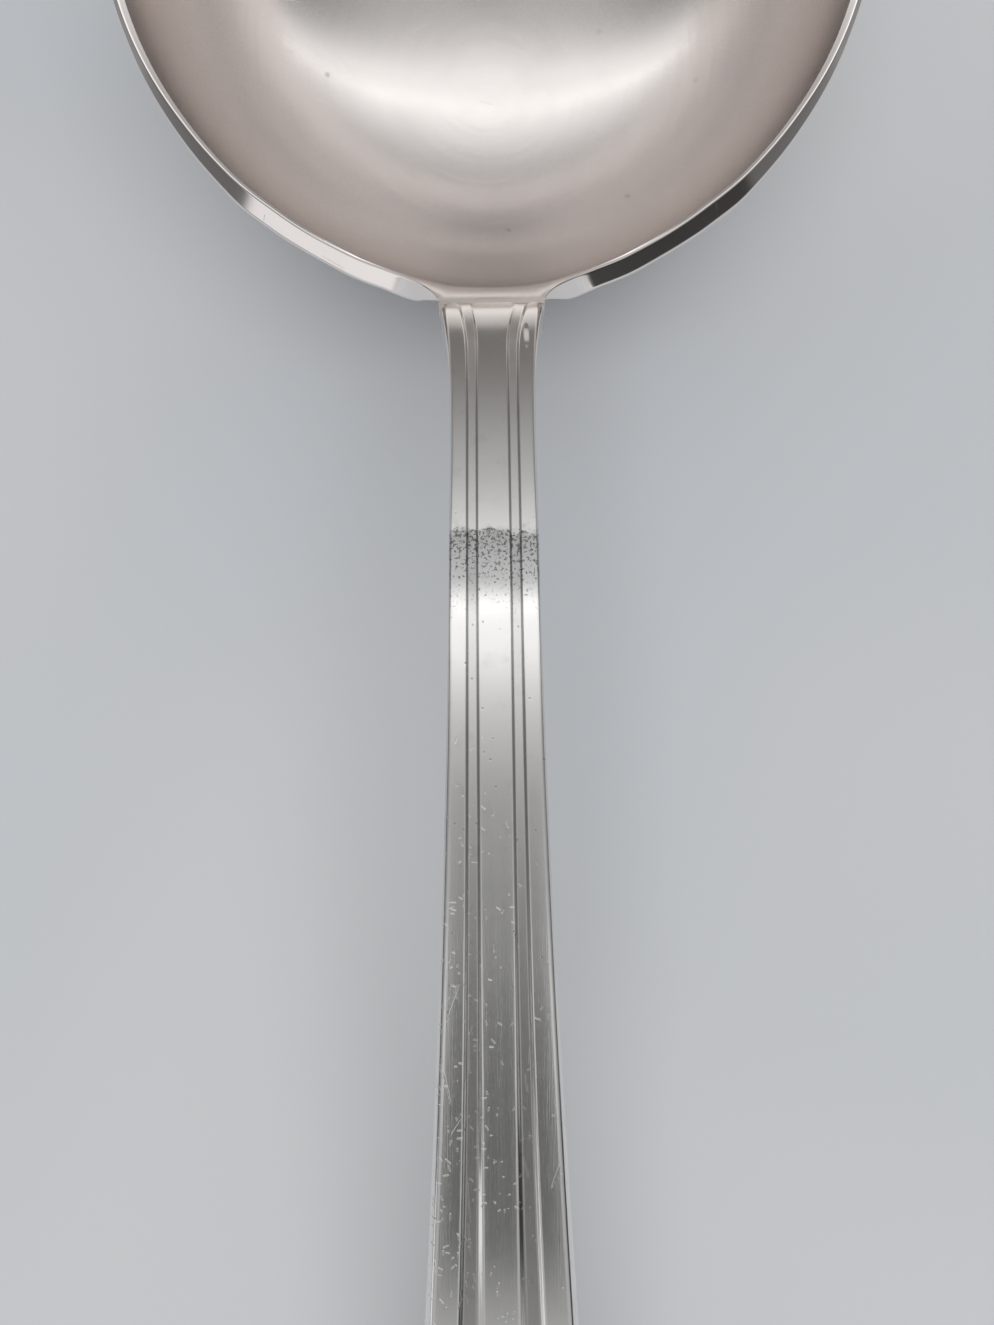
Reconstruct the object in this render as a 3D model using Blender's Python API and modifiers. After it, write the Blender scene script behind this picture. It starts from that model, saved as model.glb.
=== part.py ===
"""Plated soup ladle: a pressed bowl, a stamped handle and the brazed seam that joins them.

The pieces are drawn in the rim's frame: the rim lies in the plane z = 0 about the origin, the bowl hangs
below it and the handle runs toward -Y. One empty then tilts that frame so that the ladle lies as it does on
a table, on a worn flat under the bowl and on the tip of the handle.
"""

import math

import bmesh
import bpy
from mathutils import Matrix, Vector

# Bowl, measured on its inside; a fullness of 2 is round, and more is flatter below and steeper at the rim
BOWL_RADIUS = 0.0476
BOWL_DEPTH = 0.0425
BOWL_FULLNESS = 2.2
BOWL_WALL = 0.0015
RIM_BEVEL = 0.0004
REST_FLAT_DEPTH = 0.0003

# Ear, the stretch of rim that is drawn out and bent over to meet the handle
EAR_REACH = 0.003
EAR_RISE = 0.0013
EAR_SLOPE = math.radians(42)
EAR_SPREAD = math.radians(24)
EAR_BEND_DEPTH = 0.009
EAR_BEND_PULL = 0.003
EAR_FAN = 0.3
SHOULDER_RIM_PULL = 0.0115
SHOULDER_JOINT_PULL = 0.003

# Handle, measured along the rim's plane from the joint to the tip
HANDLE_LENGTH = 0.209
BEND_AT = 0.006
BEND_RISE = 0.00505
BEND_SLOPE = math.radians(26.3)
CREST_AT = 0.133
CREST_RISE = 0.026
TIP_RISE = 0.022
TIP_SLOPE = math.radians(-6)
TIP_ROUND = 0.012
TIP_FULLNESS = 2.4
JOINT_WIDTH = 0.0128
JOINT_TAPER = 0.35
WAIST_AT = 0.0315
WAIST_WIDTH = 0.0099
END_WIDTH = 0.0262
END_FLARE = 0.055
WAIST_THICKNESS = 0.0032
END_THICKNESS = 0.0022

# Flutes stamped into the handle's face; each width grows by its spread as the handle flares
CENTRE_BAND = 0.0035
FLANK = 0.0002
FLANK_SPREAD = 0.16
CHANNEL = 0.0009
CHANNEL_SPREAD = 0.17
CHANNEL_DEPTH = 0.00035
EDGE_BEVEL = 0.0003
EDGE_SPREAD = 0.15
BACK_BEVEL = 0.0006
FLUTE_FADE = 0.014

# Tongue of the handle, lapped under the ear and down the outside of the bowl
TONGUE_DROP = 0.020
TONGUE_THICKNESS = 0.0024
TONGUE_TIP_THICKNESS = 0.0009

# Brazed seam between the tongue and the bowl
SEAM_FILM = 0.0003
SEAM_CLEARANCE = 0.00015
SEAM_INSET = 0.0004

# Mesh density
EAR_COLUMNS = 18
JOINT_COLUMNS = 4
BACK_COLUMNS = 22
BOWL_ROWS = 11
BEND_ROWS = 8
RIM_CROWDING = 1.3
TONGUE_ROWS = 12
SEAM_COLUMNS = 8
STEM_STEP = 0.0045
TIP_ROWS = 7
RIM_BEVEL_ROWS = 2
TABLE_SIZE = 0.2

# Limits and small steps
EDGE_SHARE = 1 / 3
RIM_BEVEL_ANGLE = math.radians(50)
SHARP_ANGLE = math.radians(25)
MAX_TILT = math.radians(45)
TILT_TOLERANCE = 1e-9
ANGLE_STEP = 1e-4
LENGTH_STEP = 1e-5
BUTT_STEP = 5e-5

# Finishes: colour and roughness
BOWL_PLATE = ((0.78, 0.74, 0.71), 0.28)
HANDLE_PLATE = ((0.80, 0.78, 0.76), 0.16)
BRAZE = ((0.72, 0.69, 0.64), 0.35)

# Worked out from the sizes above
JOINT_AT = BOWL_RADIUS + BOWL_WALL + EAR_REACH
SEAM_GAP = SEAM_FILM + 2 * SEAM_CLEARANCE
JOINT_THICKNESS = BOWL_WALL + SEAM_GAP + TONGUE_THICKNESS
BEND_START = math.acos(EAR_BEND_DEPTH / BOWL_DEPTH)
JOINT_TURN = EAR_SPREAD * JOINT_COLUMNS / EAR_COLUMNS
COLUMNS = 2 * (EAR_COLUMNS + BACK_COLUMNS)
RIM_RISE = math.pi / 2


def clear_scene():
    """Remove what a new file brings along."""
    for thing in list(bpy.data.objects):
        bpy.data.objects.remove(thing, do_unlink=True)


def collection(name):
    """Add a collection to the scene."""
    group = bpy.data.collections.new(name)
    bpy.context.scene.collection.children.link(group)
    return group


def metal(name, colour, roughness):
    """A metal finish."""
    finish = bpy.data.materials.new(name)
    finish.use_nodes = True
    shader = finish.node_tree.nodes["Principled BSDF"]
    shader.inputs["Base Color"].default_value = (*colour, 1.0)
    shader.inputs["Metallic"].default_value = 1.0
    shader.inputs["Roughness"].default_value = roughness
    return finish


def hermite(share, start, end, slope_start, slope_end, span):
    """Smooth value between two values with given slopes, at a share of the span."""
    rest = 1 - share
    value = start * rest * rest * (1 + 2 * share) + end * share * share * (3 - 2 * share)
    return value + span * share * rest * (slope_start * rest - slope_end * share)


def bezier(share, points):
    """Point on a cubic curve."""
    rest = 1 - share
    weights = (rest**3, 3 * rest * rest * share, 3 * rest * share * share, share**3)
    return sum((weight * point for weight, point in zip(weights, points)), Vector())


def bowl_point(turn, rise):
    """Point inside the plain bowl: turn is counted from the handle, rise from the bottom up to the rim."""
    drop = math.cos(rise)
    radius = BOWL_RADIUS * (1 - drop**BOWL_FULLNESS) ** (1 / BOWL_FULLNESS)
    return Vector((radius * math.sin(turn), -radius * math.cos(turn), -BOWL_DEPTH * drop))


def joint_direction(spread=0.0):
    """Direction in which the ear's face crosses the joint, spread sideways by a share of its run."""
    return Vector((spread * math.cos(EAR_SLOPE), -math.cos(EAR_SLOPE), math.sin(EAR_SLOPE))).normalized()


def shoulder_edge(share):
    """Point on the right edge of the ear, from the rim at share 0 to the joint at share 1."""
    rim = bowl_point(EAR_SPREAD, RIM_RISE)
    rim_run = Vector((-math.cos(EAR_SPREAD), -math.sin(EAR_SPREAD), 0))
    joint = Vector((JOINT_WIDTH / 2, -JOINT_AT, EAR_RISE))
    joint_run = joint_direction(-JOINT_TAPER / 2)
    points = (rim, rim + SHOULDER_RIM_PULL * rim_run, joint - SHOULDER_JOINT_PULL * joint_run, joint)
    return bezier(share, points)


def ear_edge(turn):
    """Edge of the ear for a column of the bowl, and the direction in which the column leaves it."""
    side = math.copysign(1, turn)
    if abs(turn) <= JOINT_TURN:
        across = turn / JOINT_TURN
        edge = Vector((JOINT_WIDTH / 2 * across, -JOINT_AT, EAR_RISE))
        return edge, joint_direction(EAR_FAN * across)
    share = (EAR_SPREAD - abs(turn)) / (EAR_SPREAD - JOINT_TURN)
    edge = shoulder_edge(share)
    leave = Vector((0, 0, 1)).lerp(joint_direction(EAR_FAN), share).normalized()
    return Vector((side * edge.x, edge.y, edge.z)), Vector((side * leave.x, leave.y, leave.z))


def sheet_point(turn, rise):
    """Point inside the finished bowl, with the ear drawn out of its rim."""
    plain = bowl_point(turn, rise)
    if abs(turn) >= EAR_SPREAD or rise <= BEND_START:
        return plain
    bend = (rise - BEND_START) / (RIM_RISE - BEND_START)
    edge, leave = ear_edge(turn)
    rim = bowl_point(turn, RIM_RISE)
    rim_pull = Vector((0, 0, BOWL_DEPTH * (RIM_RISE - BEND_START) / 3))
    blend = abs(turn) / EAR_SPREAD
    pull = EAR_BEND_PULL + (rim_pull.z - EAR_BEND_PULL) * blend
    shift_edge = edge - rim
    shift_pull = shift_edge - pull * leave + rim_pull
    return plain + 3 * bend * bend * (1 - bend) * shift_pull + bend**3 * shift_edge


def sheet_outward(turn, rise):
    """Direction square to the bowl's sheet, pointing out of the bowl."""
    low = min(rise, RIM_RISE - ANGLE_STEP)
    across = sheet_point(turn + ANGLE_STEP, rise) - sheet_point(turn - ANGLE_STEP, rise)
    up = sheet_point(turn, low + ANGLE_STEP) - sheet_point(turn, low)
    return across.cross(up).normalized()


def behind_sheet(turn, rise, depth):
    """Point at a depth behind the inside of the bowl."""
    return sheet_point(turn, rise) + depth * sheet_outward(turn, rise)


def column_turn(column):
    """Turn of a column of the bowl; columns lie closer together across the ear."""
    if abs(column) <= EAR_COLUMNS:
        return EAR_SPREAD * column / EAR_COLUMNS
    back = (abs(column) - EAR_COLUMNS) / BACK_COLUMNS
    return math.copysign(EAR_SPREAD + (math.pi - EAR_SPREAD) * back, column)


def stem_height(along):
    """Height of the handle's face above the rim, at a distance from the joint."""
    leave = math.tan(BEND_SLOPE)
    if along <= BEND_AT:
        return hermite(along / BEND_AT, EAR_RISE, BEND_RISE, math.tan(EAR_SLOPE), leave, BEND_AT)
    if along <= CREST_AT:
        span = CREST_AT - BEND_AT
        return hermite((along - BEND_AT) / span, BEND_RISE, CREST_RISE, leave, 0, span)
    span = HANDLE_LENGTH - CREST_AT
    return hermite((along - CREST_AT) / span, CREST_RISE, TIP_RISE, 0, math.tan(TIP_SLOPE), span)


def stem_width(along):
    """Width of the handle, before its tip is rounded."""
    if along <= WAIST_AT:
        return hermite(along / WAIST_AT, JOINT_WIDTH, WAIST_WIDTH, -JOINT_TAPER, 0, WAIST_AT)
    span = HANDLE_LENGTH - TIP_ROUND - WAIST_AT
    return hermite(min(1, (along - WAIST_AT) / span), WAIST_WIDTH, END_WIDTH, 0, 2 * END_FLARE, span)


def stem_thickness(along):
    """Thickness of the handle."""
    if along <= WAIST_AT:
        return hermite(along / WAIST_AT, JOINT_THICKNESS, WAIST_THICKNESS, 0, 0, WAIST_AT)
    span = HANDLE_LENGTH - WAIST_AT
    return hermite((along - WAIST_AT) / span, WAIST_THICKNESS, END_THICKNESS, 0, 0, span)


def tip_share(along):
    """Share of the full width that the rounded tip keeps."""
    past = (along - (HANDLE_LENGTH - TIP_ROUND)) / TIP_ROUND
    return 1.0 if past <= 0 else (1 - past**TIP_FULLNESS) ** (1 / TIP_FULLNESS)


def flute_fade(along):
    """Share of the full flute depth: the flutes run out before the tip."""
    left = (HANDLE_LENGTH - TIP_ROUND - along) / FLUTE_FADE
    return min(1.0, max(0.0, left))


def section(width, thickness, flute_depth):
    """Right half of the handle's section from the face's middle to the back's, as offsets across and down."""
    flare = max(0, width - WAIST_WIDTH) / 2
    flank = FLANK + FLANK_SPREAD * flare
    channel = CHANNEL + CHANNEL_SPREAD * flare
    bevel = EDGE_BEVEL + EDGE_SPREAD * flare
    band = CENTRE_BAND / 2
    half = width / 2
    floor = band + flank
    return [
        (0, 0),
        (band, 0),
        (floor, flute_depth),
        (floor + channel, flute_depth),
        (floor + channel + flank, 0),
        (half - bevel, 0),
        (half, min(bevel, EDGE_SHARE * thickness)),
        (half, thickness - min(BACK_BEVEL, EDGE_SHARE * thickness)),
        (half - BACK_BEVEL, thickness),
        (half / 2, thickness),
        (0, thickness),
    ]


def full_section(half):
    """Both halves of a section, as one loop."""
    return half + [(-across, down) for across, down in reversed(half[1:-1])]


def stem_ring(along, down_shift=0.0):
    """One section of the handle; down_shift sinks its face to the underside of the ear."""
    climb = stem_height(along + LENGTH_STEP) - stem_height(along - LENGTH_STEP)
    slope = math.atan(climb / (2 * LENGTH_STEP))
    down = Vector((0, -math.sin(slope), -math.cos(slope)))
    middle = Vector((0, -JOINT_AT - along, stem_height(along)))
    thickness = stem_thickness(along)
    half = section(stem_width(along), thickness, 0 if down_shift else CHANNEL_DEPTH * flute_fade(along))
    sink = down_shift / thickness
    keep = tip_share(along)
    ring = []
    for across, drop in full_section(half):
        ring.append(middle + Vector((across * keep, 0, 0)) + (down_shift + drop * (1 - sink)) * down)
    return ring


def tongue_rise(share):
    """Place on the bowl's sheet of a row of the tongue, from its lower tip to the joint."""
    tip = math.acos(TONGUE_DROP / BOWL_DEPTH)
    return tip + (RIM_RISE - tip) * share


def tongue_half_turn(share):
    """Half the tongue's spread: full at the joint, round at its lower tip."""
    return JOINT_TURN * math.sqrt(1 - (1 - share) ** 2)


def tongue_ring(share):
    """One section of the tongue, square to the bowl's sheet behind it."""
    thickness = TONGUE_TIP_THICKNESS + (TONGUE_THICKNESS - TONGUE_TIP_THICKNESS) * share
    rise = tongue_rise(share)
    ring = []
    for across, drop in full_section(section(JOINT_WIDTH, thickness, 0)):
        turn = tongue_half_turn(share) * across / (JOINT_WIDTH / 2)
        ring.append(behind_sheet(turn, rise, BOWL_WALL + SEAM_GAP + drop))
    return ring


def spaced_rows(rows):
    """Shares from just past 0 up to 1, closer together at both ends."""
    return [(1 - math.cos(math.pi * (row + 0.5) / (rows + 0.5))) / 2 for row in range(rows)] + [1.0]


def handle_rings():
    """Sections of the whole handle, from the tongue's lower tip to the end of the handle."""
    rings = [tongue_ring(share) for share in spaced_rows(TONGUE_ROWS)]
    butt = SEAM_GAP * math.cos(EAR_SLOPE)
    rings.append(stem_ring(butt - BUTT_STEP, BOWL_WALL + SEAM_GAP))
    rings.append(stem_ring(butt))
    straight = HANDLE_LENGTH - TIP_ROUND
    steps = math.ceil(straight / STEM_STEP)
    rings += [stem_ring(butt + (straight - butt) * step / steps) for step in range(1, steps + 1)]
    for row in range(1, TIP_ROWS + 1):
        rings.append(stem_ring(straight + TIP_ROUND * math.sin(math.pi / 2 * row / (TIP_ROWS + 0.5))))
    return rings


def seam_ring(half_turn, rise, near, far):
    """One section of the seam's film behind the bowl, between two depths."""
    turns = [half_turn * (2 * column / SEAM_COLUMNS - 1) for column in range(SEAM_COLUMNS + 1)]
    bowl_side = [behind_sheet(turn, rise, near) for turn in turns]
    handle_side = [behind_sheet(turn, rise, far) for turn in reversed(turns)]
    return bowl_side + handle_side


def seam_rings():
    """Sections of the seam: behind the ear from the tongue's tip up, then up through the butt joint."""
    near = BOWL_WALL + SEAM_CLEARANCE
    far = near + SEAM_FILM
    keep = 1 - SEAM_INSET / (JOINT_WIDTH / 2)
    rings = []
    for share in spaced_rows(TONGUE_ROWS):
        rings.append(seam_ring(keep * tongue_half_turn(share), tongue_rise(share), near, far))
    for low, high in ((near, far), (SEAM_CLEARANCE, SEAM_CLEARANCE)):
        ring = seam_ring(keep * JOINT_TURN, RIM_RISE, low, high)
        half = len(ring) // 2
        for place, point in enumerate(ring):
            reach = SEAM_CLEARANCE if place < half else SEAM_CLEARANCE + SEAM_FILM
            point += reach * joint_direction()
        rings.append(ring)
    return rings


def loft(name, rings, finish):
    """Closed piece through a row of sections with equally many points."""
    mesh = bpy.data.meshes.new(name)
    form = bmesh.new()
    loops = [[form.verts.new(point) for point in ring] for ring in rings]
    count = len(rings[0])
    for lower, upper in zip(loops, loops[1:]):
        for place in range(count):
            following = (place + 1) % count
            form.faces.new((lower[place], lower[following], upper[following], upper[place]))
    form.faces.new(reversed(loops[0]))
    form.faces.new(loops[-1])
    bmesh.ops.recalc_face_normals(form, faces=form.faces)
    form.to_mesh(mesh)
    form.free()
    mesh.materials.append(finish)
    mesh.shade_smooth()
    mesh.set_sharp_from_angle(angle=SHARP_ANGLE)
    return bpy.data.objects.new(name, mesh)


def turned_sheet():
    """Inside of the plain bowl as an open sheet, turned about the bowl's axis."""
    rises = [BEND_START * row / BOWL_ROWS for row in range(BOWL_ROWS)]
    for row in range(BEND_ROWS + 1):
        rises.append(RIM_RISE - (RIM_RISE - BEND_START) * (1 - row / BEND_ROWS) ** RIM_CROWDING)
    profile = [bowl_point(math.pi / 2, rise) for rise in reversed(rises)]
    mesh = bpy.data.meshes.new("bowl_profile")
    mesh.from_pydata(profile, [(place, place + 1) for place in range(len(profile) - 1)], [])
    turned = bpy.data.objects.new("bowl_profile", mesh)
    bpy.context.scene.collection.objects.link(turned)
    screw = turned.modifiers.new("Turn", "SCREW")
    screw.steps = COLUMNS
    screw.render_steps = COLUMNS
    screw.use_merge_vertices = True
    screw.merge_threshold = LENGTH_STEP
    seen = turned.evaluated_get(bpy.context.evaluated_depsgraph_get())
    sheet = bpy.data.meshes.new_from_object(seen)
    bpy.data.objects.remove(turned, do_unlink=True)
    return sheet


def draw_out_ear(sheet):
    """Move the turned sheet's points to their places on the finished bowl."""
    for vertex in sheet.vertices:
        bottom = math.hypot(vertex.co.x, vertex.co.y) < LENGTH_STEP
        rise = 0.0 if bottom else math.acos(max(0.0, min(1.0, -vertex.co.z / BOWL_DEPTH)))
        column = math.atan2(vertex.co.x, -vertex.co.y) / (2 * math.pi) * COLUMNS
        vertex.co = sheet_point(column_turn(column), min(rise, RIM_RISE))


def make_bowl(finish, table):
    """Pressed bowl with its ear, bevelled at the rim and worn flat where it stands."""
    sheet = turned_sheet()
    draw_out_ear(sheet)
    sheet.name = "bowl"
    sheet.materials.append(finish)
    sheet.shade_smooth()
    bowl = bpy.data.objects.new("bowl", sheet)
    shell = bowl.modifiers.new("Wall", "SOLIDIFY")
    shell.thickness = BOWL_WALL
    shell.offset = 1
    shell.use_even_offset = True
    bevel = bowl.modifiers.new("Rim bevel", "BEVEL")
    bevel.width = RIM_BEVEL
    bevel.segments = RIM_BEVEL_ROWS
    bevel.use_clamp_overlap = False
    bevel.limit_method = "ANGLE"
    bevel.angle_limit = RIM_BEVEL_ANGLE
    wear = bowl.modifiers.new("Rest flat", "BOOLEAN")
    wear.operation = "DIFFERENCE"
    wear.solver = "EXACT"
    wear.object = table
    return bowl


def make_table():
    """Block whose top is the table; it wears the rest flat under the bowl."""
    form = bmesh.new()
    bmesh.ops.create_cube(form, size=TABLE_SIZE)
    mesh = bpy.data.meshes.new("table_cutter")
    form.to_mesh(mesh)
    form.free()
    table = bpy.data.objects.new("table_cutter", mesh)
    table.location.z = -TABLE_SIZE / 2
    table.hide_render = True
    table.display_type = "WIRE"
    return table


def rest_placement(handle_points):
    """Placement of the rim's frame with the bowl and the handle's lowest point on the table."""
    power = BOWL_FULLNESS / (BOWL_FULLNESS - 1)
    low, high = 0.0, MAX_TILT
    while high - low > TILT_TOLERANCE:
        tilt = (low + high) / 2
        aside = BOWL_RADIUS * math.sin(tilt)
        below = BOWL_DEPTH * math.cos(tilt)
        reach = (aside**power + below**power) ** (1 / power)
        bowl_drop = reach + BOWL_WALL - REST_FLAT_DEPTH
        handle_drop = -min(p.y * math.sin(tilt) + p.z * math.cos(tilt) for p in handle_points)
        if handle_drop < bowl_drop:
            low = tilt
        else:
            high = tilt
    touch_near = BOWL_RADIUS * (aside / reach) ** (power - 1)
    touch_deep = BOWL_DEPTH * (below / reach) ** (power - 1)
    back = touch_near * math.cos(tilt) - touch_deep * math.sin(tilt)
    return Matrix.Translation((0, back, bowl_drop)) @ Matrix.Rotation(tilt, 4, "X")


def main():
    """Build the ladle."""
    clear_scene()
    parts = collection("soup_ladle")
    cutters = collection("soup_ladle_cutters")
    table = make_table()
    cutters.objects.link(table)
    rings = handle_rings()
    pieces = [
        make_bowl(metal("bowl_plate", *BOWL_PLATE), table),
        loft("handle", rings, metal("handle_plate", *HANDLE_PLATE)),
        loft("brazed_seam", seam_rings(), metal("braze", *BRAZE)),
    ]
    rim_frame = bpy.data.objects.new("rim_frame", None)
    rim_frame.matrix_world = rest_placement([point for ring in rings for point in ring])
    parts.objects.link(rim_frame)
    for piece in pieces:
        parts.objects.link(piece)
        piece.parent = rim_frame


main()
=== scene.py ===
"""Worn silver-plated soup ladle lying bowl-up on a pale table.

The pieces are drawn in the rim's frame, as in the part's source: the rim lies in the plane z = 0 about the
origin, the bowl hangs below it and the handle runs toward -Y. REST then lays them on the table.
"""

import logging
import math
from dataclasses import dataclass
from enum import Enum
from typing import Any, Optional, Sequence, Union

import bmesh
import bpy
import numpy as np
from mathutils import Matrix, Vector


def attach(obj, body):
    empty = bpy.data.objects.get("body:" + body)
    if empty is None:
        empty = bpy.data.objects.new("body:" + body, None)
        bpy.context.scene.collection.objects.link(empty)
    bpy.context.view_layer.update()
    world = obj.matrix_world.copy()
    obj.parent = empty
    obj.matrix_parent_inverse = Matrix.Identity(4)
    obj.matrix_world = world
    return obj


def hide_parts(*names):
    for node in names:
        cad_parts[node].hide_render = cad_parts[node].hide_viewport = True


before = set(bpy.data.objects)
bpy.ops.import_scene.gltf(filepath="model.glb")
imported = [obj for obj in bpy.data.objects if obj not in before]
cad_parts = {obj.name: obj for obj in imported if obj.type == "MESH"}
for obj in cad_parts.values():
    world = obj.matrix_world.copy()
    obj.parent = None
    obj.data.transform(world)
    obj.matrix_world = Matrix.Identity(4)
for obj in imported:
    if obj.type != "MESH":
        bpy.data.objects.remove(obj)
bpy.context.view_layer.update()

LOG = logging.getLogger("soup_ladle")
MM = 0.001
SHARP_ANGLE = math.radians(40)
RIM_RISE = math.pi / 2

# Steps over which directions are measured
ANGLE_STEP = 1e-4
LENGTH_STEP = 1e-5

# How the rim's frame lies on the table
REST_TILT = math.radians(14.158381)
REST_BACK = 0.00546396
REST_LIFT = 0.04457671
REST = Matrix.Translation((0, REST_BACK, REST_LIFT)) @ Matrix.Rotation(REST_TILT, 4, "X")

# The photograph
IMAGE_HEIGHT = 1325

Array = np.ndarray
Number = Union[float, Array]
Triple = tuple[float, float, float]
Colour = Triple
Span = tuple[float, float]
Marks = tuple[Span, ...]
Arrays = tuple[Array, Array]
Value = Union["Sock", float]


class Layer(Enum):
    """Names of the attributes that carry a mesh's own measures to its finish."""

    LAY = "lay"
    ZONE = "zone"


class Op(Enum):
    """Operations of the Math node that the shaders use."""

    ADD = "ADD"
    SUBTRACT = "SUBTRACT"
    MULTIPLY = "MULTIPLY"
    DIVIDE = "DIVIDE"
    ABSOLUTE = "ABSOLUTE"
    LESS_THAN = "LESS_THAN"
    COSINE = "COSINE"
    SINE = "SINE"
    ARCSINE = "ARCSINE"
    ARCTAN2 = "ARCTAN2"


def hermite(
    share: Number,
    start: Number,
    end: Number,
    slope_start: Number,
    slope_end: Number,
    span: Number,
) -> Number:
    """Smooth value between two values with given slopes.

    Args:
        share: Share of the span, one or many.
        start: Value at share 0.
        end: Value at share 1.
        slope_start: Slope at share 0.
        slope_end: Slope at share 1.
        span: Length that the shares are of.

    Returns:
        The value or values.
    """
    rest = 1 - share
    value = start * rest * rest * (1 + 2 * share) + end * share * share * (3 - 2 * share)
    return value + span * share * rest * (slope_start * rest - slope_end * share)


def smooth(value: Number, low: float, high: float) -> Number:
    """Share from 0 at low to 1 at high, with soft ends.

    Args:
        value: One or many values.
        low: Value that gives 0.
        high: Value that gives 1.

    Returns:
        The share or shares.
    """
    share = np.clip((value - low) / (high - low), 0, 1)
    return share * share * (3 - 2 * share)


def profile(value: Array, marks: Marks) -> Array:
    """Smooth curve through marks that never swings past them.

    Args:
        value: Where the curve is read.
        marks: Places and heights, in order.

    Returns:
        The heights.
    """
    places, heights = np.array(marks, dtype=float).T
    steps = np.diff(heights) / np.diff(places)
    product = np.maximum(0, steps[:-1] * steps[1:])
    total = np.where(product > 0, steps[:-1] + steps[1:], 1)
    slopes = np.concatenate(((0.0,), 2 * product / total, (0.0,)))
    right = np.clip(np.searchsorted(places, value), 1, len(places) - 1)
    left = right - 1
    span = places[right] - places[left]
    share = (value - places[left]) / span
    return hermite(share, heights[left], heights[right], slopes[left], slopes[right], span)


def unit(vectors: Array) -> Array:
    """Vectors of length 1 along the last axis."""
    return vectors / np.linalg.norm(vectors, axis=-1, keepdims=True)


def lap_shares(rows: int) -> list[float]:
    """Shares of the lap at which its sections stand, closer together at both ends.

    Args:
        rows: Number of sections below the joint.

    Returns:
        The shares, from the lap's lower tip to the joint at share 1.
    """
    steps = np.arange(rows)
    return [*((1 - np.cos(math.pi * (steps + 0.5) / (rows + 0.5))) / 2), 1.0]


def lay_down(points: Array) -> Array:
    """Lay points on the table, where the bowl's bottom is worn flat.

    Args:
        points: Points in the rim's frame.

    Returns:
        The points on the table.
    """
    laid = points @ np.array(REST.to_3x3()).T + np.array(REST.translation)
    laid[:, 2] = np.maximum(laid[:, 2], 0)
    return laid


def skin(rows: int, columns: int) -> list[Sequence[int]]:
    """Faces between rows of closed rings, with a fan of faces at each end.

    Args:
        rows: Number of rings.
        columns: Number of points of a ring.

    Returns:
        The faces; the middles of the fans are the two points after those of the rings.
    """
    index = np.arange(rows * columns).reshape(rows, columns)
    following = np.roll(index, -1, axis=1)
    faces = np.stack((index[:-1], following[:-1], following[1:], index[1:]), axis=-1)
    faces = faces.reshape(-1, 4).tolist()
    for row, centre in ((0, rows * columns), (rows - 1, rows * columns + 1)):
        faces += [(index[row, column], following[row, column], centre) for column in range(columns)]
    return faces


def carry(mesh: bpy.types.Mesh, layer: Layer, measures: Array) -> None:
    """Store a measure on the points of a woven mesh.

    Args:
        mesh: The mesh.
        layer: Name of the measure.
        measures: One number or three for each point, by row and column.
    """
    ends = np.stack((measures[0].mean(axis=0), measures[-1].mean(axis=0)))
    flat = np.concatenate((measures.reshape(-1, *measures.shape[2:]), ends))
    kind, field = ("FLOAT_VECTOR", "vector") if measures.ndim == 3 else ("FLOAT", "value")
    attribute = mesh.attributes.new(layer.value, kind, "POINT")
    attribute.data.foreach_set(field, flat.astype(np.float32).ravel())


def weave(
    name: str,
    rings: Array,
    lay: Array,
    zone: Array,
    ends: Optional[Array] = None,
) -> bpy.types.Object:
    """Closed smooth piece through rows of closed rings.

    Args:
        name: Name of the piece.
        rings: Points in the rim's frame, by row, column and axis.
        lay: Measures for the finish, in the shape of rings.
        zone: One more measure for the finish, by row and column.
        ends: Middle points of the two end fans; the middles of the end rings if left out.

    Returns:
        The piece, laid on the table.
    """
    if ends is None:
        ends = np.stack((rings[0].mean(axis=0), rings[-1].mean(axis=0)))
    points = lay_down(np.concatenate((rings.reshape(-1, 3), ends)))
    mesh = bpy.data.meshes.new(name)
    mesh.from_pydata(points.tolist(), [], skin(*rings.shape[:2]))
    form = bmesh.new()
    form.from_mesh(mesh)
    bmesh.ops.recalc_face_normals(form, faces=form.faces)
    form.to_mesh(mesh)
    form.free()
    mesh.shade_smooth()
    mesh.set_sharp_from_angle(angle=SHARP_ANGLE)
    carry(mesh, Layer.LAY, lay)
    carry(mesh, Layer.ZONE, zone)
    piece = bpy.data.objects.new(name, mesh)
    bpy.context.scene.collection.objects.link(piece)
    return piece


class Sock:
    """Output of a shader node that takes part in Python arithmetic."""

    def __init__(self, graph: "Graph", socket: bpy.types.NodeSocket) -> None:
        """Keep the graph and the socket."""
        self.graph = graph
        self.socket = socket

    def __add__(self, other: Value) -> "Sock":
        """Sum."""
        return self.graph.maths(Op.ADD, self, other)

    def __radd__(self, other: float) -> "Sock":
        """Sum with a number first."""
        return self.graph.maths(Op.ADD, other, self)

    def __sub__(self, other: Value) -> "Sock":
        """Difference."""
        return self.graph.maths(Op.SUBTRACT, self, other)

    def __rsub__(self, other: float) -> "Sock":
        """Difference with a number first."""
        return self.graph.maths(Op.SUBTRACT, other, self)

    def __mul__(self, other: Value) -> "Sock":
        """Product."""
        return self.graph.maths(Op.MULTIPLY, self, other)

    def __rmul__(self, other: float) -> "Sock":
        """Product with a number first."""
        return self.graph.maths(Op.MULTIPLY, other, self)

    def __truediv__(self, other: Value) -> "Sock":
        """Quotient."""
        return self.graph.maths(Op.DIVIDE, self, other)

    def __rtruediv__(self, other: float) -> "Sock":
        """Quotient with a number first."""
        return self.graph.maths(Op.DIVIDE, other, self)

    def __neg__(self) -> "Sock":
        """Opposite."""
        return self.graph.maths(Op.MULTIPLY, self, -1.0)

    def __abs__(self) -> "Sock":
        """Size without sign."""
        return self.graph.maths(Op.ABSOLUTE, self)


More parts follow.
